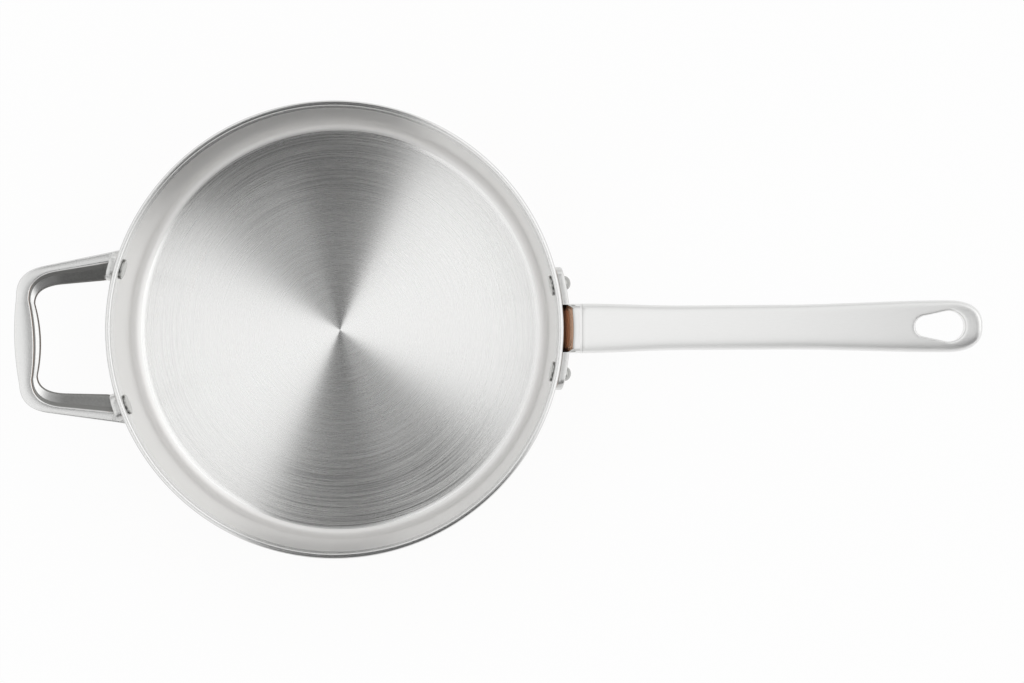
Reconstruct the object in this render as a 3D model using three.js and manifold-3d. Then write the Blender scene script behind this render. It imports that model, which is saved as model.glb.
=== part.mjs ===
// A saute pan: a bowl of three clad layers, a riveted long handle and a riveted helper handle.
// Millimetres and degrees, +Z up. The origin is the middle of the underside; the long handle lies along +X.
import * as THREE from 'three';
import { mergeVertices } from 'three/addons/utils/BufferGeometryUtils.js';
import Module from 'manifold-3d';

const wasm = await Module();
wasm.setup();

// Bowl: overall sizes and the three layers, counted from the cooking surface outwards
const RIM_DIAMETER = 268;
const RIM_HEIGHT = 68;
const WALL_TILT = 5;
const INSIDE_CORNER = 9;
const LINING_WALL = 0.6;
const CORE_WALL = 1.3;
const SKIN_WALL = 0.7;
const LAYER_GAP = 0.1;
const LIP_OVERHANG = 0.3;
const LIP_DEPTH = 2.5;
const LIP_CROWN = 1.7;

// Castings against the wall
const WALL_CLEARANCE = 0.3;
const LIP_CLEARANCE = 0.4;
const PLATE_THICKNESS = 4.3;
const PLATE_HEIGHT = 14.5;
const PLATE_CORNER = 6;
const BRACKET_SPAN = 72;
const BRACKET_DROP = 15;
const PAD_WIDTH = 17.5;

// Rivets
const RIVET_SHANK = 6.4;
const RIVET_HEAD = 12;
const RIVET_HEAD_HEIGHT = 1;
const RIVET_HEAD_BEVEL = 0.4;
const RIVET_DOME = 8.4;
const RIVET_DOME_HEIGHT = 3.4;
const RIVET_HOLE_CLEARANCE = 0.15;
const RIVET_SEAT_CLEARANCE = 0.1;
const HELPER_RIVET_INSET = 11.2;
const HELPER_RIVET_BACKING = 1.3;

// Neck of the bracket: a steep ramp out of the wall that turns into the grip
const RAMP_ANGLE = 54;
const NECK_ROOT_DEPTH = 16;
const NOTCH_MARGIN = 0.6;
const ELBOW_REACH = 5.8;
const ELBOW_ROUND = 2.4;
const SEAM_REACH = 10.7;
const SEAM_DROP = 1.9;
const SEAM_CLEARANCE = 0.3;
const TONGUE_LENGTH = 32;
const TONGUE_CLEARANCE = 0.3;

// Grip: a hollow barrel, narrow in the middle and round at the end
const GRIP_LENGTH = 228;
const GRIP_ROOT_RISE = 14;
const GRIP_END_RISE = 8;
const GRIP_ROOT_WIDTH = 29;
const GRIP_WAIST_WIDTH = 25.9;
const GRIP_END_WIDTH = 29.8;
const GRIP_ROOT_DEPTH = 14.7;
const GRIP_END_DEPTH = 9.5;
const WAIST_START = 60;
const WAIST_LENGTH = 57;
const GRIP_WALL = 1.8;
const END_ROUNDING = 21.5;
const END_NOSE = 7;
const HOLE_END_MARGIN = 10;
const HOLE_ROOT_MARGIN = 12;
const HOLE_LENGTH = 28;
const HOLE_WIDTH = 17.7;
const HOLE_NARROW_WIDTH = 12;

// Helper handle: a loop with a flat top and a sloping inner side
const HELPER_AZIMUTH = 181.65;
const HELPER_REACH = 54;
const HELPER_ROOT_HALF = 51;
const HELPER_BEND_HALF = 43.1;
const HELPER_BEND_LENGTH = 16.5;
const HELPER_BAR_HALF = 26;
const HELPER_OPENING_HALF = 21;
const ARM_TOP_ROOT = 5.5;
const ARM_TOP_BEND = 2.9;
const ARM_SLOPE_ROOT = 11.5;
const ARM_SLOPE_BEND = 8.2;
const BAR_TOP = 7.1;
const BAR_SLOPE = 3.6;
const BAR_OUTER_CROWN = 2;
const BAR_TOP_CROWN = 2;
const BAR_OPENING_CROWN = 2.6;
const HELPER_TOP_DROP = 6;
const ARM_DROP = 4;
const BAR_DROP = 2.5;
const HELPER_LIP = 2;
const ARM_DEPTH = 15;
const BAR_DEPTH = 10;
const HELPER_SIDE_TUCK = 1.5;
const SCOOP_SHARE = 0.12;

// Fineness of the facets
const BOWL_SIDES = 72;
const CORNER_STEPS = 5;
const LIP_STEPS = 6;
const RIVET_SIDES = 20;
const DOME_STEPS = 4;
const GRIP_SIDES = 24;
const GRIP_STEPS = 18;
const END_STEPS = 8;
const NECK_STEPS = 8;
const OUTLINE_STEPS = 8;
const HOLE_STEPS = 16;
const RAIL_STEPS = { arm: 4, bend: 6, bar: 5 };
const SECTION_POWER = 3.4;
const RAMP_POWER = 5;
const END_POWER = 2.6;
const SMALLEST_EDGE = 1e-4;

const BRUSHED_STEEL = { color: 0xd4d4d2, roughness: 0.32, metalness: 1 };
const SATIN_STEEL = { color: 0xdcdcda, roughness: 0.25, metalness: 1 };
const ALUMINIUM = { color: 0xc3c5c7, roughness: 0.45, metalness: 1 };
const COPPER = { color: 0xc47a5a, roughness: 0.22, metalness: 1 };

// Sizes that follow from the ones above
const rad = THREE.MathUtils.degToRad;
const TILT = rad(WALL_TILT);
const RIM_RADIUS = RIM_DIAMETER / 2;
const WALL = LINING_WALL + CORE_WALL + SKIN_WALL + 2 * LAYER_GAP;
const INSIDE_TOP_RADIUS = RIM_RADIUS - WALL - LIP_OVERHANG;
const LIP_BOTTOM = RIM_HEIGHT - LIP_DEPTH;
const PLATE_TOP = LIP_BOTTOM - LIP_CLEARANCE;
const RIVET_HEIGHT = PLATE_TOP - PLATE_HEIGHT / 2;
const SEAM_X = RIM_RADIUS + SEAM_REACH;
const SEAM_TOP = RIM_HEIGHT - SEAM_DROP;
const ROOT_X = SEAM_X + SEAM_CLEARANCE;

const ALONG_X = new THREE.Vector3(1, 0, 0);
const ALONG_Y = new THREE.Vector3(0, 1, 0);
const ALONG_Z = new THREE.Vector3(0, 0, 1);

// Radius at a height, on the wall surface that lies a depth outside the cooking surface
function wallRadius(depth, height) {
  return INSIDE_TOP_RADIUS - (RIM_HEIGHT - height) * Math.tan(TILT) + depth / Math.cos(TILT);
}

// Closed bodies for joining and cutting, and back to geometry
function solid(geometry) {
  const bare = geometry.clone();
  bare.deleteAttribute('normal');
  bare.deleteAttribute('uv');
  const merged = mergeVertices(bare, SMALLEST_EDGE);
  const corners = merged.index.array;
  const faces = [];
  for (let i = 0; i < corners.length; i += 3) {
    const face = [corners[i], corners[i + 1], corners[i + 2]];
    if (new Set(face).size === 3) {
      faces.push(...face);
    }
  }
  const vertProperties = merged.attributes.position.array;
  const triVerts = Uint32Array.from(faces);
  return new wasm.Manifold(new wasm.Mesh({ numProp: 3, vertProperties, triVerts }));
}

function surface(body) {
  const { vertProperties, triVerts } = body.getMesh();
  const geometry = new THREE.BufferGeometry();
  geometry.setAttribute('position', new THREE.BufferAttribute(vertProperties, 3));
  geometry.setIndex(new THREE.BufferAttribute(triVerts, 1));
  geometry.computeVertexNormals();
  return geometry;
}

function piece(name, body, finish) {
  const mesh = new THREE.Mesh(surface(body), new THREE.MeshStandardMaterial(finish));
  mesh.name = name;
  return mesh;
}

// A profile of radius and height turned about the Z axis
function turned(points, sides) {
  return solid(new THREE.LatheGeometry(points, sides).rotateX(Math.PI / 2));
}

function extruded(outline, depth, curveSegments) {
  return new THREE.ExtrudeGeometry(outline, { depth, bevelEnabled: false, curveSegments });
}

// Rings of equally many points joined into a skin, with a flat fan over each end
function loft(rings) {
  const count = rings[0].length;
  const points = rings.flat();
  const faces = [];
  for (let i = 0; i + 1 < rings.length; i += 1) {
    for (let k = 0; k < count; k += 1) {
      const a = i * count + k;
      const b = i * count + ((k + 1) % count);
      faces.push(a, b, a + count, b, b + count, a + count);
    }
  }
  for (const [ring, first, turn] of [[rings[0], 0, 1], [rings.at(-1), points.length - count, 0]]) {
    const middle = ring.reduce((sum, p) => sum.add(p), new THREE.Vector3()).divideScalar(count);
    const hub = points.push(middle) - 1;
    for (let k = 0; k < count; k += 1) {
      const pair = [first + k, first + ((k + 1) % count)];
      faces.push(hub, pair[turn], pair[1 - turn]);
    }
  }
  const geometry = new THREE.BufferGeometry().setFromPoints(points);
  geometry.setIndex(faces);
  return solid(geometry);
}

// Bowl: nested shells that share one corner centre, so every layer keeps its thickness
const CORNER_HEIGHT = WALL + INSIDE_CORNER;
const CORNER_RADIUS = wallRadius(-INSIDE_CORNER, CORNER_HEIGHT);

function bowlLine(depth, top) {
  const round = INSIDE_CORNER + depth;
  const line = [new THREE.Vector2(0, WALL - depth)];
  for (let i = 0; i <= CORNER_STEPS; i += 1) {
    const angle = THREE.MathUtils.lerp(-Math.PI / 2, -TILT, i / CORNER_STEPS);
    const radius = CORNER_RADIUS + round * Math.cos(angle);
    line.push(new THREE.Vector2(radius, CORNER_HEIGHT + round * Math.sin(angle)));
  }
  line.push(new THREE.Vector2(wallRadius(depth, top), top));
  return line;
}

// The rolled lip: a flat underside that covers the other layers, then a round crown
function lipLine() {
  const crownFoot = RIM_HEIGHT - LIP_CROWN;
  const inner = wallRadius(0, crownFoot);
  const half = (RIM_RADIUS - inner) / 2;
  const line = [new THREE.Vector2(RIM_RADIUS, LIP_BOTTOM)];
  for (let i = 0; i <= LIP_STEPS; i += 1) {
    const angle = Math.PI * i / LIP_STEPS;
    const radius = inner + half + half * Math.cos(angle);
    line.push(new THREE.Vector2(radius, crownFoot + LIP_CROWN * Math.sin(angle)));
  }
  return line;
}

function liningBody() {
  const inside = bowlLine(0, LIP_BOTTOM).slice(0, -1);
  return turned([...bowlLine(LINING_WALL, LIP_BOTTOM), ...lipLine(), ...inside.reverse()], BOWL_SIDES);
}

function layerBody(depth, thickness) {
  const top = LIP_BOTTOM - LAYER_GAP;
  return turned([...bowlLine(depth + thickness, top), ...bowlLine(depth, top).reverse()], BOWL_SIDES);
}

// The space that the bowl fills, grown by the clearance that castings keep to it
function bowlSpace() {
  const grown = bowlLine(WALL + WALL_CLEARANCE, PLATE_TOP);
  const lipRadius = RIM_RADIUS + WALL_CLEARANCE;
  grown.push(new THREE.Vector2(lipRadius, PLATE_TOP));
  grown.push(new THREE.Vector2(lipRadius, RIM_HEIGHT));
  grown.push(new THREE.Vector2(0, RIM_HEIGHT));
  return turned(grown, BOWL_SIDES);
}

// A curved plate against the wall, centred on an azimuth, with rounded corners and a sagging lower edge
function wallPlate(azimuth, width, sag) {
  const inner = WALL + WALL_CLEARANCE;
  const outer = inner + PLATE_THICKNESS;
  const low = PLATE_TOP - PLATE_HEIGHT - sag;
  const corners = [[inner, low], [outer, low], [outer, PLATE_TOP], [inner, PLATE_TOP], [inner, low]];
  const profile = corners.map(([depth, z]) => new THREE.Vector2(wallRadius(depth, z), z));
  const x = width / 2 - PLATE_CORNER;
  const y = PLATE_HEIGHT / 2 - PLATE_CORNER;
  const outline = new THREE.Shape();
  outline.absarc(x, y, PLATE_CORNER, 0, Math.PI / 2);
  outline.absarc(-x, y, PLATE_CORNER, Math.PI / 2, Math.PI);
  outline.absarc(-x, -y, PLATE_CORNER, Math.PI, Math.PI * 1.5);
  const edge = -PLATE_HEIGHT / 2;
  outline.bezierCurveTo(-x / 2, edge, -x / 2, edge - sag, 0, edge - sag);
  outline.bezierCurveTo(x / 2, edge - sag, x / 2, edge, x, edge);
  outline.absarc(x, -y, PLATE_CORNER, Math.PI * 1.5, Math.PI * 2);
  const block = extruded(outline, RIM_DIAMETER, OUTLINE_STEPS);
  block.applyMatrix4(new THREE.Matrix4().makeBasis(ALONG_Y, ALONG_Z, ALONG_X));
  block.translate(0, 0, RIVET_HEIGHT).rotateZ(azimuth);
  return turned(profile, BOWL_SIDES).intersect(solid(block));
}

// Rivets: turned pieces whose axis is square to the wall, counted outwards from the cooking surface
const PLATE_FACE = WALL + WALL_CLEARANCE + PLATE_THICKNESS;
const BITE_END = PLATE_FACE - HELPER_RIVET_BACKING;
const FACET_SAG = RIM_RADIUS * (1 - Math.cos(Math.PI / BOWL_SIDES));
const HEAD_SAG = (RIVET_HEAD / 2) ** 2 / (2 * wallRadius(0, RIVET_HEIGHT));
const HEAD_SEAT = -(FACET_SAG + HEAD_SAG + RIVET_SEAT_CLEARANCE);

function rivetBody(shankEnd, domed) {
  const head = RIVET_HEAD / 2;
  const shank = RIVET_SHANK / 2;
  const face = HEAD_SEAT - RIVET_HEAD_HEIGHT;
  const line = [[0, face], [head - RIVET_HEAD_BEVEL, face], [head, face + RIVET_HEAD_BEVEL]];
  line.push([head, HEAD_SEAT], [shank, HEAD_SEAT], [shank, shankEnd]);
  const steps = domed ? DOME_STEPS : 0;
  for (let i = 0; i < steps; i += 1) {
    const angle = Math.PI / 2 * i / DOME_STEPS;
    line.push([RIVET_DOME / 2 * Math.cos(angle), shankEnd + RIVET_DOME_HEIGHT * Math.sin(angle)]);
  }
  line.push([0, domed ? shankEnd + RIVET_DOME_HEIGHT : shankEnd]);
  return turned(line.map(([r, s]) => new THREE.Vector2(r, s)), RIVET_SIDES);
}

function placeOnWall(object, azimuth) {
  const radius = wallRadius(0, RIVET_HEIGHT);
  const outward = new THREE.Vector3(Math.cos(TILT), 0, -Math.sin(TILT)).applyAxisAngle(ALONG_Z, azimuth);
  object.position.set(radius * Math.cos(azimuth), radius * Math.sin(azimuth), RIVET_HEIGHT);
  object.quaternion.setFromUnitVectors(ALONG_Z, outward);
  return object;
}

function rivetHole(azimuth, end) {
  const length = end - HEAD_SEAT;
  const drill = new THREE.CylinderGeometry(1, 1, length, RIVET_SIDES);
  const radius = RIVET_SHANK / 2 + RIVET_HOLE_CLEARANCE;
  drill.scale(radius, 1, radius).rotateX(Math.PI / 2).translate(0, 0, HEAD_SEAT + length / 2);
  const place = placeOnWall(new THREE.Object3D(), azimuth);
  place.updateMatrix();
  return solid(drill.applyMatrix4(place.matrix));
}

// A bracket rivet sits halfway along its arm, a helper rivet a set distance inside the arm's outer edge
function wallAzimuth(aside) {
  return Math.asin(aside / wallRadius(0, RIVET_HEIGHT));
}

const bracketRivet = wallAzimuth((GRIP_ROOT_WIDTH + BRACKET_SPAN) / 4);
const helperRivet = wallAzimuth(HELPER_ROOT_HALF - HELPER_RIVET_INSET);
const BRACKET_RIVETS = { left: bracketRivet, right: -bracketRivet };
const HELPER_RIVETS = { left: -helperRivet, right: helperRivet };

function drilled(body, azimuths, end) {
  return azimuths.reduce((rest, azimuth) => rest.subtract(rivetHole(azimuth, end)), body);
}

// Grip: sections across its length, from the root at 0 to the end at GRIP_LENGTH
function gripTop(along) {
  const start = Math.tan(rad(GRIP_ROOT_RISE));
  const end = Math.tan(rad(GRIP_END_RISE));
  return SEAM_TOP + along * start + (end - start) * along ** 2 / (2 * GRIP_LENGTH);
}

function gripWidth(along) {
  const waistEnd = WAIST_START + WAIST_LENGTH;
  const narrowing = THREE.MathUtils.smoothstep(along, 0, WAIST_START);
  const widening = THREE.MathUtils.smoothstep(along, waistEnd, GRIP_LENGTH - END_ROUNDING);
  const root = GRIP_ROOT_WIDTH + (GRIP_WAIST_WIDTH - GRIP_ROOT_WIDTH) * narrowing;
  return root + (GRIP_END_WIDTH - GRIP_WAIST_WIDTH) * widening;
}

function roundOff(along, length) {
  const part = Math.max(0, (along - (GRIP_LENGTH - length)) / length);
  return Math.max(0, 1 - part ** END_POWER) ** (1 / END_POWER);
}

function gripSection(along, inset) {
  const depth = THREE.MathUtils.lerp(GRIP_ROOT_DEPTH, GRIP_END_DEPTH, along / GRIP_LENGTH);
  const middle = new THREE.Vector3(ROOT_X + along, 0, gripTop(along) - depth / 2);
  const halfDepth = depth / 2 * roundOff(along, END_NOSE) - inset;
  const halfWidth = gripWidth(along) / 2 * roundOff(along, END_ROUNDING) - inset;
  return roundedRing(middle, new THREE.Vector3(0, 0, halfDepth), halfWidth);
}

// A rounded section: half its height as a vector, half its width along Y
function roundedRing(middle, up, halfWidth, squareness = SECTION_POWER) {
  const ring = [];
  for (let k = 0; k < GRIP_SIDES; k += 1) {
    const angle = 2 * Math.PI * k / GRIP_SIDES;
    const [c, s] = [Math.cos(angle), Math.sin(angle)];
    const power = (v) => Math.sign(v) * Math.abs(v) ** (2 / squareness);
    const point = middle.clone().addScaledVector(up, power(s));
    ring.push(point.addScaledVector(ALONG_Y, power(c) * halfWidth));
  }
  return ring;
}

function evenly(from, to, steps) {
  return Array.from({ length: steps + 1 }, (_, i) => THREE.MathUtils.lerp(from, to, i / steps));
}

function gripBody() {
  const straight = evenly(0, GRIP_LENGTH - END_ROUNDING, GRIP_STEPS);
  const turn = evenly(0, Math.PI / 2, END_STEPS).slice(1, -1);
  const rounded = turn.map((angle) => GRIP_LENGTH - END_ROUNDING * (1 - Math.sin(angle)));
  const outside = loft([...straight, ...rounded].map((along) => gripSection(along, 0)));
  const solidEnd = HOLE_END_MARGIN + HOLE_LENGTH + HOLE_ROOT_MARGIN;
  const hollow = evenly(-SEAM_CLEARANCE, GRIP_LENGTH - solidEnd, GRIP_STEPS);
  const inside = loft(hollow.map((along) => gripSection(along, GRIP_WALL)));
  return outside.subtract(inside).subtract(hangingHole());
}

// The hanging hole: two round ends of different width with straight flanks between them
function hangingHole() {
  const wide = HOLE_WIDTH / 2;
  const narrow = HOLE_NARROW_WIDTH / 2;
  const wideX = ROOT_X + GRIP_LENGTH - HOLE_END_MARGIN - wide;
  const between = HOLE_LENGTH - wide - narrow;
  const lean = Math.acos((narrow - wide) / between);
  const outline = new THREE.Shape();
  outline.absarc(wideX, 0, wide, -lean, lean);
  outline.absarc(wideX - between, 0, narrow, lean, 2 * Math.PI - lean);
  return solid(extruded(outline, gripTop(GRIP_LENGTH) + RIM_HEIGHT, HOLE_STEPS));
}

// Bracket: the curved plate, the neck that climbs from it to the seam, and the tongue inside the grip
const ELBOW_X = RIM_RADIUS + ELBOW_REACH;
const ELBOW_TOP = SEAM_TOP - (SEAM_X - ELBOW_X) * Math.tan(rad(GRIP_ROOT_RISE));
const NECK_X = wallRadius(0, RIVET_HEIGHT);
const NECK_TOP = ELBOW_TOP - (ELBOW_X - NECK_X) * Math.tan(rad(RAMP_ANGLE));

function neckLines() {
  const foot = new THREE.Vector2(NECK_X, NECK_TOP);
  const elbow = new THREE.Vector2(ELBOW_X, ELBOW_TOP);
  const seam = new THREE.Vector2(SEAM_X, SEAM_TOP);
  const towards = (end) => elbow.clone().lerp(end, ELBOW_ROUND / elbow.distanceTo(end));
  const bend = new THREE.QuadraticBezierCurve(towards(foot), elbow, towards(seam));
  const top = [foot, ...bend.getPoints(NECK_STEPS), seam];
  const below = (p, depth) => new THREE.Vector2(p.x, p.y - depth);
  const lowFoot = below(foot, NECK_ROOT_DEPTH);
  const lowElbow = below(elbow, (NECK_ROOT_DEPTH + GRIP_ROOT_DEPTH) / 2);
  const lowSeam = below(seam, GRIP_ROOT_DEPTH);
  const lower = new THREE.QuadraticBezierCurve(lowFoot, lowElbow, lowSeam);
  return { top, bottom: top.map((p) => lower.getPoint((p.x - foot.x) / (seam.x - foot.x))) };
}

function neckBody() {
  const { top, bottom } = neckLines();
  const rings = top.map((high, i) => {
    const half = high.clone().sub(bottom[i]).divideScalar(2);
    const middle = high.clone().sub(half);
    const up = new THREE.Vector3(half.x, 0, half.y);
    const past = Math.max(0, (high.x - ELBOW_X) / (SEAM_X - ELBOW_X));
    const squareness = THREE.MathUtils.lerp(RAMP_POWER, SECTION_POWER, past);
    return roundedRing(new THREE.Vector3(middle.x, 0, middle.y), up, GRIP_ROOT_WIDTH / 2, squareness);
  });
  return loft(rings);
}

// The gap between the arms, over the middle of the neck, that leaves the ramp open
function armNotch() {
  const { top, bottom } = neckLines();
  const width = GRIP_ROOT_WIDTH - 2 * NOTCH_MARGIN;
  const floor = top.map((high, i) => high.clone().lerp(bottom[i], 0.5));
  const over = [new THREE.Vector2(SEAM_X, RIM_HEIGHT), new THREE.Vector2(NECK_X, RIM_HEIGHT)];
  const block = extruded(new THREE.Shape([...floor, ...over]), width, OUTLINE_STEPS);
  block.rotateX(Math.PI / 2).translate(0, width / 2, 0);
  return solid(block);
}

function tongueBody() {
  const stations = evenly(-SEAM_CLEARANCE - GRIP_WALL, TONGUE_LENGTH, NECK_STEPS);
  return loft(stations.map((along) => gripSection(along, GRIP_WALL + TONGUE_CLEARANCE)));
}

function bracketBody() {
  const arms = wallPlate(0, BRACKET_SPAN, BRACKET_DROP).subtract(armNotch());
  const casting = arms.add(neckBody()).add(tongueBody()).subtract(bowlSpace());
  return drilled(casting, Object.values(BRACKET_RIVETS), PLATE_FACE + RIVET_DOME_HEIGHT);
}

// Helper handle, in its own frame with +X pointing away from the bowl.
// Each rail is half of one edge in plan: a straight arm, a round bend and half of the crowned bar.
function helperRail(rootHalf, bendHalf, barX, barHalf, middleX) {
  const root = new THREE.Vector2(wallRadius(0, RIVET_HEIGHT) * Math.cos(helperRivet), rootHalf);
  const bend = new THREE.Vector2(barX - HELPER_BEND_LENGTH, bendHalf);
  const slope = (bendHalf - rootHalf) / (bend.x - root.x);
  const corner = new THREE.Vector2(barX, bendHalf + slope * HELPER_BEND_LENGTH);
  const bar = new THREE.Vector2(barX, barHalf);
  const middle = new THREE.Vector2(middleX, 0);
  const arm = new THREE.LineCurve(root, bend);
  const turn = new THREE.QuadraticBezierCurve(bend, corner, bar);
  const half = new THREE.QuadraticBezierCurve(bar, new THREE.Vector2(middleX, barHalf / 2), middle);
  const points = arm.getPoints(RAIL_STEPS.arm);
  points.push(...turn.getPoints(RAIL_STEPS.bend).slice(1));
  points.push(...half.getPoints(RAIL_STEPS.bar).slice(1));
  return points;
}

function helperRings() {
  const reach = RIM_RADIUS + HELPER_REACH;
  const outerX = reach - BAR_OUTER_CROWN;
  const edgeX = outerX - BAR_TOP;
  const openX = edgeX - BAR_SLOPE;
  const edgeRoot = HELPER_ROOT_HALF - ARM_TOP_ROOT;
  const edgeBend = HELPER_BEND_HALF - ARM_TOP_BEND;
  const edgeBar = (HELPER_BAR_HALF + HELPER_OPENING_HALF) / 2;
  const outer = helperRail(HELPER_ROOT_HALF, HELPER_BEND_HALF, outerX, HELPER_BAR_HALF, reach);
  const edge = helperRail(edgeRoot, edgeBend, edgeX, edgeBar, edgeX - BAR_TOP_CROWN);
  const openRoot = edgeRoot - ARM_SLOPE_ROOT;
  const openBend = edgeBend - ARM_SLOPE_BEND;
  const open = helperRail(openRoot, openBend, openX, HELPER_OPENING_HALF, openX - BAR_OPENING_CROWN);
  const half = outer.map((_, i) => helperSection(outer[i], edge[i], open[i], outer[0].x, reach));
  const mirrored = half.slice(0, -1).reverse();
  return [...half, ...mirrored.map((ring) => ring.map((p) => new THREE.Vector3(p.x, -p.y, p.z)))];
}

function helperSection(outer, edge, open, rootX, reach) {
  const share = THREE.MathUtils.smoothstep(outer.x, rootX, reach);
  const drop = THREE.MathUtils.lerp(ARM_DROP, BAR_DROP, share);
  const depth = THREE.MathUtils.lerp(ARM_DEPTH, BAR_DEPTH, share);
  const at = (p, below) => new THREE.Vector3(p.x, p.y, RIM_HEIGHT - HELPER_TOP_DROP - below);
  const scoop = edge.clone().lerp(open, 0.5);
  const tucked = outer.clone().lerp(edge, HELPER_SIDE_TUCK / outer.distanceTo(edge));
  const under = tucked.clone().lerp(open, 0.5);
  return [
    at(outer, 0),
    at(edge, 0),
    at(scoop, drop * (0.5 + SCOOP_SHARE)),
    at(open, drop),
    at(open, drop + HELPER_LIP),
    at(under, depth),
    at(tucked, depth),
    at(outer, HELPER_SIDE_TUCK),
  ];
}

function helperBody() {
  const pads = Object.values(HELPER_RIVETS).map((azimuth) => wallPlate(azimuth, PAD_WIDTH, 0));
  const casting = pads.reduce((rest, pad) => rest.add(pad), loft(helperRings())).subtract(bowlSpace());
  return drilled(casting, Object.values(HELPER_RIVETS), BITE_END + RIVET_HOLE_CLEARANCE);
}

// Assembly
const helperAzimuth = rad(HELPER_AZIMUTH);
const wallRivets = Object.values(BRACKET_RIVETS);
wallRivets.push(...Object.values(HELPER_RIVETS).map((azimuth) => azimuth + helperAzimuth));
const throughWall = (body) => drilled(body, wallRivets, BITE_END);

const bowl = new THREE.Group();
const coreDepth = LINING_WALL + LAYER_GAP;
const skinDepth = coreDepth + CORE_WALL + LAYER_GAP;
bowl.add(piece('steel_lining', throughWall(liningBody()), BRUSHED_STEEL));
bowl.add(piece('aluminium_core', throughWall(layerBody(coreDepth, CORE_WALL)), ALUMINIUM));
bowl.add(piece('copper_skin', throughWall(layerBody(skinDepth, SKIN_WALL)), COPPER));

const longHandle = new THREE.Group();
longHandle.add(piece('handle_bracket', bracketBody(), SATIN_STEEL));
longHandle.add(piece('handle_grip', gripBody(), SATIN_STEEL));
const domeSeat = PLATE_FACE + RIVET_SEAT_CLEARANCE;
for (const [side, azimuth] of Object.entries(BRACKET_RIVETS)) {
  const rivet = piece(`handle_rivet_${side}`, rivetBody(domeSeat, true), SATIN_STEEL);
  longHandle.add(placeOnWall(rivet, azimuth));
}

const helper = new THREE.Group();
helper.rotation.z = helperAzimuth;
helper.add(piece('helper_handle', helperBody(), SATIN_STEEL));
for (const [side, azimuth] of Object.entries(HELPER_RIVETS)) {
  const rivet = piece(`helper_rivet_${side}`, rivetBody(BITE_END, false), SATIN_STEEL);
  helper.add(placeOnWall(rivet, azimuth));
}

const pan = new THREE.Group();
pan.add(bowl, longHandle, helper);

export default pan;
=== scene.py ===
"""A saute pan in its finished metals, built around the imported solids. Metres, +Z up, long handle along +X."""
import math

import bmesh
import bpy
from mathutils import Matrix, Vector


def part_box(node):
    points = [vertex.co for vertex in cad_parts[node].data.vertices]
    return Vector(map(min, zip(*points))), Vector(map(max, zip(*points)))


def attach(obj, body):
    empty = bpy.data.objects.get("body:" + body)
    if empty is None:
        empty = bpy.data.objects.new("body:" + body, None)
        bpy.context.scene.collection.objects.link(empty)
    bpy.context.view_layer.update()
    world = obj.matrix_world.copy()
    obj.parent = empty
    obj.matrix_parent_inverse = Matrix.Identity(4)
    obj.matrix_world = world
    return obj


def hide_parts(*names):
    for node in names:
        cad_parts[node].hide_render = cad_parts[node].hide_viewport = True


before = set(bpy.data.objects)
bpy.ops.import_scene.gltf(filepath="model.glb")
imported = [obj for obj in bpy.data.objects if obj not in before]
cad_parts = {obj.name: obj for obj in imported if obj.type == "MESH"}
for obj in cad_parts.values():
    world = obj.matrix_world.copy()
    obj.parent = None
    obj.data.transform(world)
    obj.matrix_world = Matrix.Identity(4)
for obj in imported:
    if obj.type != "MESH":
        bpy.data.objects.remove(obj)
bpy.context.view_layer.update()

# Steel lining
# The cooking surface: a stainless steel disc drawn into a bowl, its edge rolled over the other two layers.
# The floor and the foot of its corner were brushed on a turntable, the wall is satin from the press, and the
# rolled rim is buffed.
MM = 0.001
lining_low, lining_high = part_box("steel_lining")
rim_radius = lining_high.x
rim_height = lining_high.z
lining_wall = 0.6 * MM
bowl_wall = lining_low.z + lining_wall
wall_tilt = math.radians(5)
inside_corner = 9 * MM
lip_overhang = 0.3 * MM
lip_depth = 2.5 * MM
lip_crown = 1.7 * MM
crown_power = 3
brushing_rise = 0.5 * MM
bowl_sides = 288
floor_steps, corner_steps, wall_steps, crown_steps = 6, 20, 8, 28

inside_top_radius = rim_radius - bowl_wall - lip_overhang
lip_bottom = rim_height - lip_depth


def wall_radius(depth, height):
    """Radius of the wall surface that lies a depth outside the cooking surface, at a height."""
    return inside_top_radius - (rim_height - height) * math.tan(wall_tilt) + depth / math.cos(wall_tilt)


corner_height = bowl_wall + inside_corner
corner_radius = wall_radius(-inside_corner, corner_height)


def spread(start, end, steps):
    """Evenly spaced numbers from start to end, both included."""
    return [start + (end - start) * i / steps for i in range(steps + 1)]


def bowl_line(depth, top):
    """The bowl's section from the axis up to a height on the wall, a depth outside the cooking surface."""
    bend = inside_corner + depth
    line = [(radius, bowl_wall - depth) for radius in spread(0, corner_radius, floor_steps)[:-1]]
    for angle in spread(-math.pi / 2, -wall_tilt, corner_steps):
        line.append((corner_radius + bend * math.cos(angle), corner_height + bend * math.sin(angle)))
    rising = spread(line[-1][1], top, wall_steps)[1:]
    return line + [(wall_radius(depth, height), height) for height in rising]


def build(name, points, faces, finishes, marks=None, crease=40):
    """A mesh as a named piece, smooth but for edges sharper than the crease, in degrees."""
    mesh = bpy.data.meshes.new(name)
    mesh.from_pydata(points, [], faces)
    for finish in finishes:
        mesh.materials.append(finish)
    if marks:
        mesh.polygons.foreach_set("material_index", marks)
    shell = bmesh.new()
    shell.from_mesh(mesh)
    bmesh.ops.recalc_face_normals(shell, faces=shell.faces)
    shell.to_mesh(mesh)
    shell.free()
    mesh.shade_smooth()
    mesh.set_sharp_from_angle(angle=math.radians(crease))
    piece = bpy.data.objects.new(name, mesh)
    bpy.context.scene.collection.objects.link(piece)
    return piece


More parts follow.
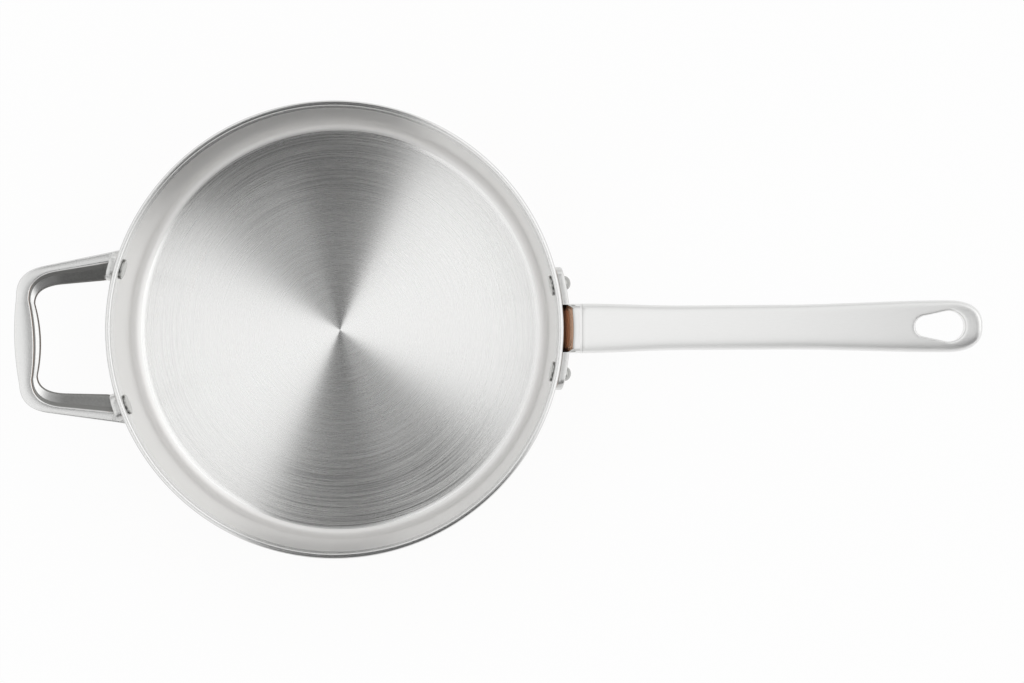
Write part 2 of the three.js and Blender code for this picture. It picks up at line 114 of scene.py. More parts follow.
def turned(line, sides, finish_of=lambda step: 0):
    """Points, faces and finish numbers of a section turned about Z, from one end on the axis to the other."""
    points, faces, marks, rings = [], [], [], []
    for radius, height in line:
        if radius == 0:
            rings.append([len(points)] * sides)
            points.append((0, 0, height))
            continue
        rings.append([len(points) + k for k in range(sides)])
        angles = [2 * math.pi * k / sides for k in range(sides)]
        points += [(radius * math.cos(a), radius * math.sin(a), height) for a in angles]
    for step, (low, high) in enumerate(zip(rings, rings[1:])):
        for k in range(sides):
            after = (k + 1) % sides
            faces.append(list(dict.fromkeys([low[k], low[after], high[after], high[k]])))
            marks.append(finish_of(step))
    return points, faces, marks


def linear(colour):
    """An sRGB hex colour as linear RGBA."""
    channels = [int(colour[i:i + 2], 16) / 255 for i in (1, 3, 5)]
    return [c / 12.92 if c <= 0.04045 else ((c + 0.055) / 1.055) ** 2.4 for c in channels] + [1]


def add(tree, kind, sockets=None, **settings):
    """One node with its settings, and its sockets filled by a value or by another node's output."""
    made = tree.nodes.new(kind)
    for key, value in settings.items():
        setattr(made, key, value)
    for socket, value in (sockets or {}).items():
        if isinstance(value, bpy.types.NodeSocket):
            tree.links.new(value, made.inputs[socket])
        else:
            made.inputs[socket].default_value = value
    return made


def off_axis(tree):
    """A point's offset from the bowl's axis, in plan."""
    place = add(tree, "ShaderNodeTexCoord").outputs["Object"]
    return add(tree, "ShaderNodeVectorMath", {0: place, 1: (1, 1, 0)}, operation="MULTIPLY").outputs[0]


def radius_at(tree):
    """A point's distance from the bowl's axis."""
    return add(tree, "ShaderNodeVectorMath", {0: off_axis(tree)}, operation="LENGTH").outputs[1]


def outward(tree):
    """The direction away from the bowl's axis, across its brushing lines."""
    return add(tree, "ShaderNodeVectorMath", {0: off_axis(tree)}, operation="NORMALIZE").outputs[0]


def round_lines(tree, spacing, breaks):
    """Brushing lines round the bowl's axis, a spacing apart; with more breaks, a line fades more often."""
    place = add(tree, "ShaderNodeTexCoord").outputs["Object"]
    height = add(tree, "ShaderNodeSeparateXYZ", {0: place}).outputs[2]
    along = add(tree, "ShaderNodeMath", {0: radius_at(tree), 1: height}).outputs[0]
    step = add(tree, "ShaderNodeMath", {0: along, 1: spacing}, operation="DIVIDE").outputs[0]
    turn = {0: outward(tree), "Scale": breaks}
    around = add(tree, "ShaderNodeVectorMath", turn, operation="SCALE").outputs[0]
    rise = add(tree, "ShaderNodeCombineXYZ", {2: step}).outputs[0]
    lines = add(tree, "ShaderNodeVectorMath", {0: around, 1: rise}).outputs[0]
    noise = {"Vector": lines, "Scale": 1, "Detail": 3, "Roughness": 0.6}
    return add(tree, "ShaderNodeTexNoise", noise).outputs[0]


def metal(name, pattern, shades, roughness, depth, brushed=0, across=outward, bite=(0.3, 0.7)):
    """A bare metal: its pattern, from 0 to 1, shifts its shade and roughness, and is a depth deep.
    The bite is where on the pattern the roughness starts and ends, and its start may be a pattern too.
    Brushing, from 0 to 1, spreads the reflections across the lines."""
    finish = bpy.data.materials.new(name)
    finish.use_nodes = True
    tree = finish.node_tree
    tree.nodes.clear()
    marks = pattern(tree)
    ends = {0: marks, 6: linear(shades[0]), 7: linear(shades[1])}
    colour = add(tree, "ShaderNodeMix", ends, data_type="RGBA").outputs[2]
    smoothest, roughest = roughness
    if callable(smoothest):
        smoothest = smoothest(tree)
    limits = {0: marks, 1: bite[0], 2: bite[1], 3: smoothest, 4: roughest}
    gloss = add(tree, "ShaderNodeMapRange", limits).outputs[0]
    relief = add(tree, "ShaderNodeBump", {"Height": marks, "Distance": depth}).outputs[0]
    surface = {"Base Color": colour, "Metallic": 1, "Roughness": gloss, "Normal": relief}
    if brushed:
        surface |= {"Anisotropic": brushed, "Tangent": across(tree)}
    shader = add(tree, "ShaderNodeBsdfPrincipled", surface).outputs[0]
    add(tree, "ShaderNodeOutputMaterial", {"Surface": shader})
    return finish


def fit(piece, slot, *nodes):
    """The piece stands for those solids, which it hides, and stays with the pan. The slot is not used."""
    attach(piece, "root")
    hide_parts(*nodes)


full_brushing, light_brushing = 60 * MM, 108 * MM
full_roughness, light_roughness = 0.255, 0.155


def between_lines(tree):
    """Roughness between the lines: the brush presses less towards the edge and leaves more gloss there."""
    pressure = {0: radius_at(tree), 1: full_brushing, 2: light_brushing}
    limits = pressure | {3: full_roughness, 4: light_roughness}
    return add(tree, "ShaderNodeMapRange", limits, interpolation_type="SMOOTHSTEP").outputs[0]


# Turntable-brushed stainless steel: fine rings stretch every reflection along the radius, so light from two
# sides shows as two bright fans. Real grit lines lie 0.1 mm apart; they are drawn 0.5 mm apart to show.
brushed_floor = metal("turntable_brushed_stainless", lambda tree: round_lines(tree, 0.5 * MM, 1.2),
                      ("#e8e8e7", "#f1f1f0"), (between_lines, 0.297), 0.0025 * MM, brushed=1,
                      bite=(0.37, 0.63))
# Satin stainless steel: the drawn wall is soft and even, with faint lines round it. Real ones lie 0.2 mm
# apart; they are drawn 1.2 mm apart to show.
satin_wall = metal("satin_drawn_stainless", lambda tree: round_lines(tree, 1.2 * MM, 1.5),
                   ("#e9e8e6", "#f0efee"), (0.32, 0.38), 0.001 * MM, brushed=0.7)
# Buffed stainless steel: fine lines along the rolled edge make it bright towards the two ends of the pan and
# grey at its sides. Real ones lie 0.1 mm apart; they are drawn 0.9 mm apart to show.
buffed_rim = metal("buffed_rim_stainless", lambda tree: round_lines(tree, 0.9 * MM, 1.5),
                   ("#dededd", "#e8e8e7"), (0.16, 0.20), 0.0005 * MM, brushed=0.9)

crown_foot = rim_height - lip_crown
crown_inner = wall_radius(0, crown_foot)
crown_half = (rim_radius - crown_inner) / 2
crown = []
for a in spread(0, math.pi, crown_steps):
    away = math.copysign(abs(math.cos(a)) ** (2 / crown_power), math.cos(a))
    rise = math.sin(a) ** (2 / crown_power)
    crown.append((crown_inner + crown_half * (1 - away), crown_foot + lip_crown * rise))
cooking_side = bowl_line(0, crown_foot)
brushed_steps = sum(height < bowl_wall + brushing_rise for _, height in cooking_side)
hidden_back = [(rim_radius, lip_bottom)] + bowl_line(lining_wall, lip_bottom)[::-1]
lining_line = cooking_side[:-1] + crown + hidden_back


def lining_finish(step):
    """0 for the floor and the foot of the corner, 1 for the wall and hidden back, 2 for the rolled rim."""
    if step < brushed_steps:
        return 0
    return 2 if len(cooking_side) - 2 <= step < len(cooking_side) + len(crown) else 1


points, faces, marks = turned(lining_line, bowl_sides, lining_finish)
lining = build("lining", points, faces, [brushed_floor, satin_wall, buffed_rim], marks)
fit(lining, "lining_steel", "steel_lining")

# Aluminium core
# A plate of aluminium pressed between lining and skin so that heat spreads. The rolled rim seals it in, and
# nothing of it shows on a whole pan, so its solid stays as it was packed and takes a finish.
# Rolled aluminium: dull and even, with faint drawing lines of about 2 mm round the bowl.
rolled_core = metal("rolled_aluminium", lambda tree: round_lines(tree, 2 * MM, 1),
                    ("#c2c4c6", "#cccdcf"), (0.42, 0.5), 0.001 * MM)
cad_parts["aluminium_core"].material_slots[0].material = rolled_core

# Copper skin
# The outside of the bowl: a copper sheet drawn with the other layers, polished on a lathe, open to view from
# the base to just under the rolled rim.
layer_gap = 0.1 * MM
skin_wall = 0.7 * MM
# Polished copper: warm and bright, with faint turning lines that soften what it mirrors. Real ones lie 0.1 mm
# apart; they are drawn 0.7 mm apart to show.
polished_copper = metal("lathe_polished_copper", lambda tree: round_lines(tree, 0.7 * MM, 0.7),
                        ("#cba58c", "#d5af96"), (0.22, 0.30), 0.001 * MM, brushed=0.5)
skin_top = lip_bottom - layer_gap
skin_line = bowl_line(bowl_wall, skin_top) + bowl_line(bowl_wall - skin_wall, skin_top)[::-1]
points, faces, _ = turned(skin_line, bowl_sides)
skin = build("skin", points, faces, [polished_copper])
fit(skin, "skin_copper", "copper_skin")

# Handle bracket
# One steel casting: two arms riveted to the wall, and a neck that climbs between them on a polished ramp and
# turns into the grip. A tongue beyond the seam follows the grip's line inside it and holds it.
wall_clearance = 0.3 * MM
lip_clearance = 0.4 * MM
plate_top = lip_bottom - lip_clearance
plate_thickness = 4.3 * MM
plate_height = 14.5 * MM
plate_corner = 6 * MM
plate_edge = 0.7 * MM
plate_corner_steps, plate_sag_steps, plate_bend_steps = 8, 12, 36
weld_distance = 0.001 * MM
bracket_span = 72 * MM
bracket_drop = 15 * MM
neck_width = 29 * MM
neck_root_depth = 16 * MM
neck_end_depth = 14.7 * MM
notch_margin = 0.6 * MM
ramp_slope = math.tan(math.radians(58))
root_slope = math.tan(math.radians(14))
elbow_reach = 5.2 * MM
ramp_bend, neck_bend = 7 * MM, 4.5 * MM
ramp_facing = 0.2
ramp_margin = 1 * MM
# Powers of the rounded sections and ends: 2 is an ellipse, and a higher one is squarer
section_power = 3.4
ramp_power = 5.5
section_points = 72
ramp_steps, elbow_steps, neck_steps, tongue_steps = 10, 20, 4, 8
seam_gap = 0.04 * MM
root_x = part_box("handle_grip")[0].x
seam_x = root_x - seam_gap
seam_drop = 1.9 * MM
seam_top = rim_height - seam_drop
rivet_height = plate_top - plate_height / 2
tongue_length = 32 * MM
tongue_clearance = 0.3 * MM
# The grip's own sizes, which the tongue inside it follows
grip_length = 228 * MM
end_slope = math.tan(math.radians(8))
waist_width = 25.9 * MM
end_width = 29.8 * MM
end_depth = 9.5 * MM
waist_start = 60 * MM
waist_end = 117 * MM
grip_wall = 1.8 * MM
end_rounding = 21.5 * MM
end_nose = 7 * MM
end_power = 2.6
nose_power = 5


def grain(tree, size, stretch=(1, 1, 1)):
    """Fine mottling of a size, drawn out by a factor along each axis."""
    place = add(tree, "ShaderNodeTexCoord").outputs["Object"]
    scale = tuple(1 / (size * s) for s in stretch)
    scaled = add(tree, "ShaderNodeVectorMath", {0: place, 1: scale}, operation="MULTIPLY").outputs[0]
    noise = {"Vector": scaled, "Scale": 1, "Detail": 4, "Roughness": 0.6}
    return add(tree, "ShaderNodeTexNoise", noise).outputs[0]


def curve_points(start, control, end, steps):
    """A round stretch from start to end that leans on a control point."""
    return [start.lerp(control, t).lerp(control.lerp(end, t), t) for t in spread(0, 1, steps)]


def ring(middle, up, half_width, power=section_power):
    """A rounded section of the neck or grip: half its height as a vector, half its width along Y."""
    outline = []
    for k in range(section_points):
        turn = 2 * math.pi * k / section_points
        c, s = math.cos(turn), math.sin(turn)
        aside = math.copysign(abs(c) ** (2 / power), c) * half_width
        outline.append(middle + up * math.copysign(abs(s) ** (2 / power), s) + Vector((0, aside, 0)))
    return outline


def smooth(value, low, high):
    """0 below low, 1 above high, and a soft ramp between them."""
    t = min(1, max(0, (value - low) / (high - low)))
    return t * t * (3 - 2 * t)


def round_off(along, length, power):
    """How much of a size is left on the last length of the grip."""
    part = max(0, (along - (grip_length - length)) / length)
    return max(0, 1 - part**power) ** (1 / power)


def grip_half_width(along):
    """Half the grip's width in plan."""
    width = neck_width + (waist_width - neck_width) * smooth(along, 0, waist_start)
    width += (end_width - waist_width) * smooth(along, waist_end, grip_length - end_rounding)
    return width / 2 * round_off(along, end_rounding, end_power)


def grip_half_depth(along):
    """Half the grip's depth, from its top to its underside."""
    depth = neck_end_depth + (end_depth - neck_end_depth) * along / grip_length
    return depth / 2 * round_off(along, end_nose, nose_power)


def grip_middle(along):
    """Height of the grip's middle line."""
    top = seam_top + along * root_slope + (end_slope - root_slope) * along**2 / (2 * grip_length)
    return top - (neck_end_depth + (end_depth - neck_end_depth) * along / grip_length) / 2


def grip_ring(along, inset):
    """One section of the grip, drawn in by an inset."""
    up = Vector((0, 0, grip_half_depth(along) - inset))
    return ring(Vector((root_x + along, 0, grip_middle(along))), up, grip_half_width(along) - inset)


def loft(rings):
    """Points and faces of a skin over rings of equally many points, with a fan over each end."""
    count = len(rings[0])
    points = [point for outline in rings for point in outline]
    faces = []
    for start in range(0, len(points) - count, count):
        for k in range(count):
            after = (k + 1) % count
            faces.append([start + k, start + after, start + count + after, start + count + k])
    for outline, first in ((rings[0], 0), (rings[-1], len(points) - count)):
        hub = len(points)
        points.append(sum(outline, Vector()) / count)
        faces += [[hub, first + k, first + (k + 1) % count] for k in range(count)]
    return points, faces


def rounded_outline(width, height, corner, sag):
    """Outline of a plate seen from outside: rounded ends, and a lower edge that sags towards the middle."""
    x, y = width / 2 - corner, height / 2 - corner
    outline = []
    for middle, start in ((Vector((x, y)), 0), (Vector((-x, y)), 90), (Vector((-x, -y)), 180)):
        turn = [math.radians(start + a) for a in spread(0, 90, plate_corner_steps)]
        outline += [middle + corner * Vector((math.cos(a), math.sin(a))) for a in turn]
    if sag:
        low, deep = -height / 2, -height / 2 - sag
        ends = [Vector((-x, low)), Vector((-x / 2, low)), Vector((-x / 2, deep)), Vector((0, deep))]
        half = []
        for t in spread(0, 1, plate_sag_steps)[1:-1]:
            weights = ((1 - t) ** 3, 3 * t * (1 - t) ** 2, 3 * t * t * (1 - t), t**3)
            half.append(sum((p * w for p, w in zip(ends, weights)), Vector((0, 0))))
        outline += half + [Vector((-point.x, point.y)) for point in reversed(half)]
    turn = [math.radians(a) for a in spread(270, 360, plate_corner_steps)]
    outline += [Vector((x, -y)) + corner * Vector((math.cos(a), math.sin(a))) for a in turn]
    return outline


def wall_plate(name, outline, azimuth, finish):
    """A plate with eased edges, cut to an outline and bent to lie against the wall at an azimuth."""
    curve = bpy.data.curves.new(name, "CURVE")
    curve.dimensions = "2D"
    curve.fill_mode = "BOTH"
    curve.bevel_depth = plate_edge
    curve.bevel_resolution = 2
    curve.offset = -plate_edge
    curve.extrude = plate_thickness / 2 - plate_edge
    spline = curve.splines.new("POLY")
    spline.points.add(len(outline) - 1)
    for corner, point in zip(spline.points, outline):
        corner.co = (point.x, point.y, 0, 1)
    spline.use_cyclic_u = True
    flat = bpy.data.objects.new(name, curve)
    bpy.context.scene.collection.objects.link(flat)
    graph = bpy.context.evaluated_depsgraph_get()
    mesh = bpy.data.meshes.new_from_object(flat.evaluated_get(graph))
    bpy.data.objects.remove(flat)
    shell = bmesh.new()
    shell.from_mesh(mesh)
    bmesh.ops.remove_doubles(shell, verts=shell.verts, dist=weld_distance)
    reach = max(point.x for point in outline)
    for aside in spread(-reach, reach, plate_bend_steps)[1:-1]:
        everything = shell.verts[:] + shell.edges[:] + shell.faces[:]
        bmesh.ops.bisect_plane(shell, geom=everything, plane_co=(aside, 0, 0), plane_no=(1, 0, 0))
    for vertex in shell.verts:
        aside, height = vertex.co.x, rivet_height + vertex.co.y
        depth = bowl_wall + wall_clearance + plate_thickness / 2 + vertex.co.z
        away = math.sqrt(wall_radius(depth, height) ** 2 - aside**2)
        vertex.co = Matrix.Rotation(azimuth, 3, "Z") @ Vector((away, aside, height))
    shell.verts.index_update()
    points = [vertex.co.copy() for vertex in shell.verts]
    faces = [[vertex.index for vertex in face.verts] for face in shell.faces]
    shell.free()
    return build(name, points, faces, [finish])


def bowl_space():
    """The room that the bowl takes, with its clearance, for trimming castings to it."""
    line = bowl_line(bowl_wall + wall_clearance, plate_top)
    lip_room = rim_radius + wall_clearance
    line += [(lip_room, plate_top), (lip_room, rim_height), (0, rim_height)]
    points, faces, _ = turned(line, bowl_sides)
    return build("bowl_space", points, faces, [])


def cast_whole(name, base, joined, trimmed, crease=40):
    """One casting out of a base, the bodies joined to it and the bodies that it is trimmed by."""
    for operation, bodies in (("UNION", joined), ("DIFFERENCE", trimmed)):
        for body in bodies:
            cut = base.modifiers.new(body.name, "BOOLEAN")
            cut.operation = operation
            cut.object = body
            cut.solver = "MANIFOLD"
    graph = bpy.context.evaluated_depsgraph_get()
    mesh = bpy.data.meshes.new_from_object(base.evaluated_get(graph))
    for body in (base, *joined, *trimmed):
        bpy.data.objects.remove(body)
    mesh.name = name
    mesh.shade_smooth()
    mesh.set_sharp_from_angle(angle=math.radians(crease))
    piece = bpy.data.objects.new(name, mesh)
    bpy.context.scene.collection.objects.link(piece)
    return piece


# Satin cast stainless steel: blasted and lightly buffed, so it is soft, pale and a little mottled. Its pits
# of 0.2 mm are drawn 0.9 mm wide to show.
satin_cast = metal("satin_cast_stainless", lambda tree: grain(tree, 0.9 * MM),
                   ("#e0e0df", "#e7e7e6"), (0.17, 0.21), 0.0002 * MM)
# Blasted cast stainless steel: left rough and mottled on arms and pads, it greys what it mirrors. Its pits of
# 0.3 mm are drawn 1.1 mm wide to show.
blasted_cast = metal("blasted_cast_stainless", lambda tree: grain(tree, 1.1 * MM),
                     ("#cfcfcd", "#ececeb"), (0.27, 0.35), 0.02 * MM)
# Mirror-polished stainless steel: the ramp mirrors the copper wall beside it, with the buffing wheel's faint
# waves of 3 mm.
mirror_ramp = metal("mirror_polished_stainless", lambda tree: grain(tree, 3 * MM),
                    ("#e4e4e3", "#e8e8e7"), (0.06, 0.10), 0.0005 * MM)
# Brushed stainless steel: long fine lines run along the neck and the whole grip, which stay pale and soft.
# Real ones lie 0.1 mm apart; they are drawn 0.7 mm apart to show.
brushed_grip = metal("lengthwise_brushed_stainless", lambda tree: grain(tree, 0.7 * MM, (40, 1, 1)),
                     ("#ededec", "#f3f3f2"), (0.33, 0.39), 0.0005 * MM, brushed=0.5,
                     across=lambda tree: add(tree, "ShaderNodeCombineXYZ", {1: 1}).outputs[0])

neck_foot_x = wall_radius(0, rivet_height)
elbow_x = rim_radius + elbow_reach
elbow = Vector((elbow_x, 0, seam_top - (seam_x - elbow_x) * root_slope))
foot = Vector((neck_foot_x, 0, elbow.z - (elbow_x - neck_foot_x) * ramp_slope))
seam = Vector((seam_x, 0, seam_top))
bend_start = elbow.lerp(foot, ramp_bend / (foot - elbow).length)
bend_end = elbow.lerp(seam, neck_bend / (seam - elbow).length)
neck_top = [foot.lerp(bend_start, t) for t in spread(0, 1, ramp_steps)[:-1]]
neck_top += curve_points(bend_start, elbow, bend_end, elbow_steps)
neck_top += [bend_end.lerp(seam, t) for t in spread(0, 1, neck_steps)[1:]]
low_foot = foot - Vector((0, 0, neck_root_depth))
low_elbow = elbow - Vector((0, 0, (neck_root_depth + neck_end_depth) / 2))
low_seam = seam - Vector((0, 0, neck_end_depth))
neck_rings = []
for high in neck_top:
    t = (high.x - foot.x) / (seam.x - foot.x)
    low = low_foot.lerp(low_elbow, t).lerp(low_elbow.lerp(low_seam, t), t)
    straight = smooth(high.x, bend_start.x, bend_end.x)
    power = ramp_power + (section_power - ramp_power) * straight
    outline = ring((high + low) / 2, (high - low) / 2, neck_width / 2, power)
    neck_rings.append([p - Vector((p.y**2 / (2 * elbow_x) * (1 - straight), 0, 0)) for p in outline])
for along in (-seam_gap, *spread(0, tongue_length, tongue_steps)):
    neck_rings.append(grip_ring(along, grip_wall + tongue_clearance))
points, faces = loft(neck_rings)
bracket_finishes = [satin_cast, mirror_ramp, brushed_grip, blasted_cast]
neck = build("neck", points, faces, bracket_finishes)

arms_outline = rounded_outline(bracket_span, plate_height, plate_corner, bracket_drop)
notch_half = neck_width / 2 - notch_margin
notch_floor = -plate_height
split = next(i for i, point in enumerate(arms_outline) if point.x < 0)
notch = [Vector(corner) for corner in ((notch_half, plate_height / 2), (notch_half, notch_floor),
                                       (-notch_half, notch_floor), (-notch_half, plate_height / 2))]
arms = wall_plate("arms", arms_outline[:split] + notch + arms_outline[split:], 0, satin_cast)
bracket = cast_whole("bracket", neck, [arms], [bowl_space()])
# The ramp is what looks back at the bowl and upwards, below the elbow
for face in bracket.data.polygons:
    on_ramp = face.normal.x < 0 and face.normal.z > ramp_facing and face.center.z < elbow.z + ramp_margin
    if abs(face.center.y) > neck_width / 2:
        finish = blasted_cast
    elif face.center.x > bend_end.x:
        finish = brushed_grip
    else:
        finish = mirror_ramp if on_ramp else satin_cast
    face.material_index = bracket_finishes.index(finish)
fit(bracket, "cast_steel", "handle_bracket")

# Handle grip
# A hollow steel barrel pushed over the bracket's tongue: narrow at the waist, flat and solid at the end, with
# an egg-shaped hole to hang the pan by. Brushed lengthwise.
hole_end_margin = 10 * MM
hole_root_margin = 12 * MM
hole_length = 28 * MM
hole_wide = 17.7 / 2 * MM
hole_narrow = 12 / 2 * MM
hole_edge = 1.2 * MM
seam_edge = 0.1 * MM
least_width = 0.001 * MM
inside_steps, outside_steps, end_steps = 40, 60, 80
edge_steps, face_steps = 6, 12
halvings = 40

wide_x = root_x + grip_length - hole_end_margin - hole_wide
narrow_x = wide_x - (hole_length - hole_wide - hole_narrow)
solid_start = grip_length - hole_end_margin - hole_length - hole_root_margin


def grip_face(x, y, side):
    """A point on the grip's top (side 1) or underside (side -1)."""
    along = x - root_x
    share = min(1, abs(y) / max(grip_half_width(along), least_width))
    rise = grip_half_depth(along) * (1 - share**section_power) ** (1 / section_power)
    return Vector((x, y, grip_middle(along) + side * rise))


def hole_distance(x, y):
    """Distance in plan from the edge of the egg-shaped hole, negative inside it."""
    length = wide_x - narrow_x
    lean = (hole_narrow - hole_wide) / length
    square = math.sqrt(1 - lean**2)
    along, aside = x - narrow_x, abs(y)
    place = along * square - aside * lean
    if place < 0:
        return math.hypot(along, aside) - hole_narrow
    if place > square * length:
        return math.hypot(along - length, aside) - hole_wide
    return aside * square + along * lean - hole_narrow


def reach_until(turn, stop):
    """How far from the hole's middle a ray in plan runs before stop(x, y) turns true."""
    near, far = 0, hole_length * 2
    for _ in range(halvings):
        middle = (near + far) / 2
        if stop(hole_x + middle * math.cos(turn), middle * math.sin(turn)):
            far = middle
        else:
            near = middle
    return near


hole_x = (wide_x + hole_wide + narrow_x - hole_narrow) / 2
half_count = section_points // 2
# The barrel: from the solid end forward along the hollow, round its mouth and back along the outside
barrel = [grip_ring(along, grip_wall) for along in spread(solid_start, 0, inside_steps)]
barrel += [grip_ring(0, seam_edge), grip_ring(seam_edge, 0)]
barrel += [grip_ring(along, 0) for along in spread(0, solid_start, outside_steps)[1:]]
points, faces = loft(barrel)
end_hub = len(points) - 1
faces = [face for face in faces if end_hub not in face]
points.pop()
last = end_hub - 1 - section_points

# The solid end: rays in plan from the hole's middle, to the barrel's last ring and then to the grip's sides
edge_turns = []
for k in range(half_count + 1):
    corner = points[last + k]
    edge_turns.append(math.atan2(corner.y, corner.x - hole_x))
start_turn, end_turn = edge_turns[-1], edge_turns[0]
if start_turn > 0:
    start_turn -= 2 * math.pi
side_turns = spread(start_turn, end_turn, end_steps)[1:-1]
turns = edge_turns + side_turns
side_first = len(points)
for turn in side_turns:
    far = reach_until(turn, lambda x, y: abs(y) >= grip_half_width(x - root_x))
    points.append(grip_face(hole_x + far * math.cos(turn), far * math.sin(turn), 1))
sides = list(range(side_first, len(points)))
# Loops of points from the hole's eased edge out along those rays, on the top and on the underside
mouths = []
for side in (1, -1):
    rim = [last + (side * k) % section_points for k in range(half_count + 1)] + sides
    loops = []
    for turn_down in spread(0, math.pi / 2, edge_steps):
        inset, drop = hole_edge * (1 - math.cos(turn_down)), hole_edge * (1 - math.sin(turn_down))
        loop = []
        for turn in turns:
            far = reach_until(turn, lambda x, y: hole_distance(x, y) >= inset)
            place = grip_face(hole_x + far * math.cos(turn), far * math.sin(turn), side)
            loop.append(len(points))
            points.append(place - Vector((0, 0, side * drop)))
        loops.append(loop)
    for share in [math.sin(t) for t in spread(0, math.pi / 2, face_steps)[1:-1]]:
        loop = []
        for inner, outer in zip(loops[edge_steps], rim):
            plan = points[inner].lerp(points[outer], share)
            loop.append(len(points))
            points.append(grip_face(plan.x, plan.y, side))
        loops.append(loop)
    loops.append(rim)
    mouths.append(loops[0])
    for near, far in zip(loops, loops[1:]):
        for k in range(len(turns)):
            after = (k + 1) % len(turns)
            faces.append([near[k], near[after], far[after], far[k]])
for k in range(len(turns)):
    after = (k + 1) % len(turns)
    faces.append([mouths[0][k], mouths[0][after], mouths[1][after], mouths[1][k]])

grip = build("grip", points, faces, [brushed_grip])
fit(grip, "grip_steel", "handle_grip")

# Rivets
# Stainless rivets pressed through the wall: a flat head with an eased edge on the cooking surface, and on the
# long handle a dome outside. The helper handle's rivets end inside its pads.
shank = 6.4 / 2 * MM
head = 12 / 2 * MM
head_height = 1 * MM
head_edge = 0.5 * MM
head_crown, shoulder_crown = 0.12 * MM, 0.07 * MM
shoulder = head * 0.6
rivet_sides = 48
head_edge_steps, dome_steps = 6, 10
dome = 8.4 / 2 * MM
dome_height = 3.4 * MM
seat_clearance = 0.1 * MM
helper_azimuth = math.radians(181.65)
helper_root_half = 51 * MM
helper_rivet_inset = 11.2 * MM
rivet_backing = 1.3 * MM
plate_face = bowl_wall + wall_clearance + plate_thickness
head_seat = -(head**2 / (2 * wall_radius(0, rivet_height)) + seat_clearance)

# Pressed stainless steel: smooth and a little darker than the castings, mottled by the press. Its marks of
# 0.2 mm are drawn 0.6 mm wide to show.
pressed_steel = metal("pressed_rivet_stainless", lambda tree: grain(tree, 0.6 * MM),
                      ("#b0b0ad", "#bebebc"), (0.18, 0.26), 0.001 * MM)


def rivet(name, azimuth, end, domed):
    """A rivet square to the wall at an azimuth, whose shank ends a depth outside the cooking surface."""
    top = head_seat - head_height
    line = [(0, top - head_crown), (shoulder, top - shoulder_crown)]
    for a in spread(0, math.pi / 2, head_edge_steps):
        line.append((head - head_edge * (1 - math.sin(a)), top + head_edge * (1 - math.cos(a))))
    line += [(head, head_seat), (shank, head_seat), (shank, end)]
    if domed:
        for a in spread(0, math.pi / 2, dome_steps)[:-1]:
            line.append((dome * math.cos(a), end + dome_height * math.sin(a)))
    line.append((0, end + dome_height if domed else end))
    points, faces, _ = turned(line, rivet_sides)
    square = Vector((math.cos(wall_tilt), 0, -math.sin(wall_tilt)))
    upright = Vector((0, 0, 1)).rotation_difference(square).to_matrix()
    around = Matrix.Rotation(azimuth, 3, "Z")
    seat = Vector((wall_radius(0, rivet_height), 0, rivet_height))
    piece = build(name, [around @ (seat + upright @ Vector(p)) for p in points], faces, [pressed_steel])
    fit(piece, "rivet_steel", name.replace("pressed_", ""))


def azimuth_of(aside):
    """Azimuth on the cooking surface of a point that far to the side of a handle's middle."""
    return math.asin(aside / wall_radius(0, rivet_height))


bracket_rivet = azimuth_of((neck_width + bracket_span) / 4)
helper_rivet = azimuth_of(helper_root_half - helper_rivet_inset)
for side, sign in (("left", 1), ("right", -1)):
    rivet(f"pressed_handle_rivet_{side}", sign * bracket_rivet, plate_face + seat_clearance, True)
    helper_place = helper_azimuth - sign * helper_rivet
    rivet(f"pressed_helper_rivet_{side}", helper_place, plate_face - rivet_backing, False)

# Helper handle
# A cast steel loop for the second hand: flat and satin on top, hollowed towards the opening, with painted shade
# that darkens the slope inside the arms and a thin dark line of painted shade along the step and the lip, and
# with a pad at each end that is riveted to the wall.
helper_length = 54 * MM
helper_reach = rim_radius + helper_length
bend_half = 43.1 * MM
bend_length = 16.5 * MM
bar_half = 26 * MM
opening_half = 21 * MM
arm_top_root, arm_top_bend = 5.5 * MM, 2.9 * MM
arm_slope_root, arm_slope_bend = 11.5 * MM, 8.2 * MM
bar_top, bar_slope = 7.1 * MM, 3.6 * MM
outer_crown, top_crown, opening_crown = 2 * MM, 2 * MM, 2.6 * MM
helper_drop = 6 * MM
helper_top = rim_height - helper_drop
arm_drop, bar_drop = 4 * MM, 2.5 * MM
arm_depth, bar_depth = 15 * MM, 10 * MM
inner_lip = 2 * MM
side_tuck = 1.5 * MM
scoop_share = 0.12
step_share, step_drop = 0.1, 0.28
pad_width = 17.5 * MM
helper_root_x = wall_radius(0, rivet_height) * math.cos(helper_rivet)
# How far each corner of the section is eased, in the order of helper_section
casting_edges = [size * MM for size in (1, 0.4, 0.4, 6, 0.9, 0.9, 3, 2, 0.8)]
easing_steps = 4
easing_limit = 0.45
arm_steps, bend_steps, bar_steps = 10, 16, 12
pad_face_margin = 0.3 * MM

# Cast stainless steel painted dark: a thin dark line of painted shade on the small step, the lip of the slope
# and the inner underside. Its grain of 0.3 mm is drawn 0.8 mm wide to show.
painted_dark_line = metal("cast_stainless_painted_dark_line", lambda tree: grain(tree, 0.8 * MM),
                  ("#7c7c7a", "#90908e"), (0.40, 0.48), 0.002 * MM)
# Where the painted shade on the slope is full, and from where it is gone, as margins in from the loop's far end
shaded_margin, unshaded_margin = 30 * MM, 14 * MM
shaded_until = helper_reach - shaded_margin
unshaded_from = helper_reach - unshaded_margin
grain_share = 0.3


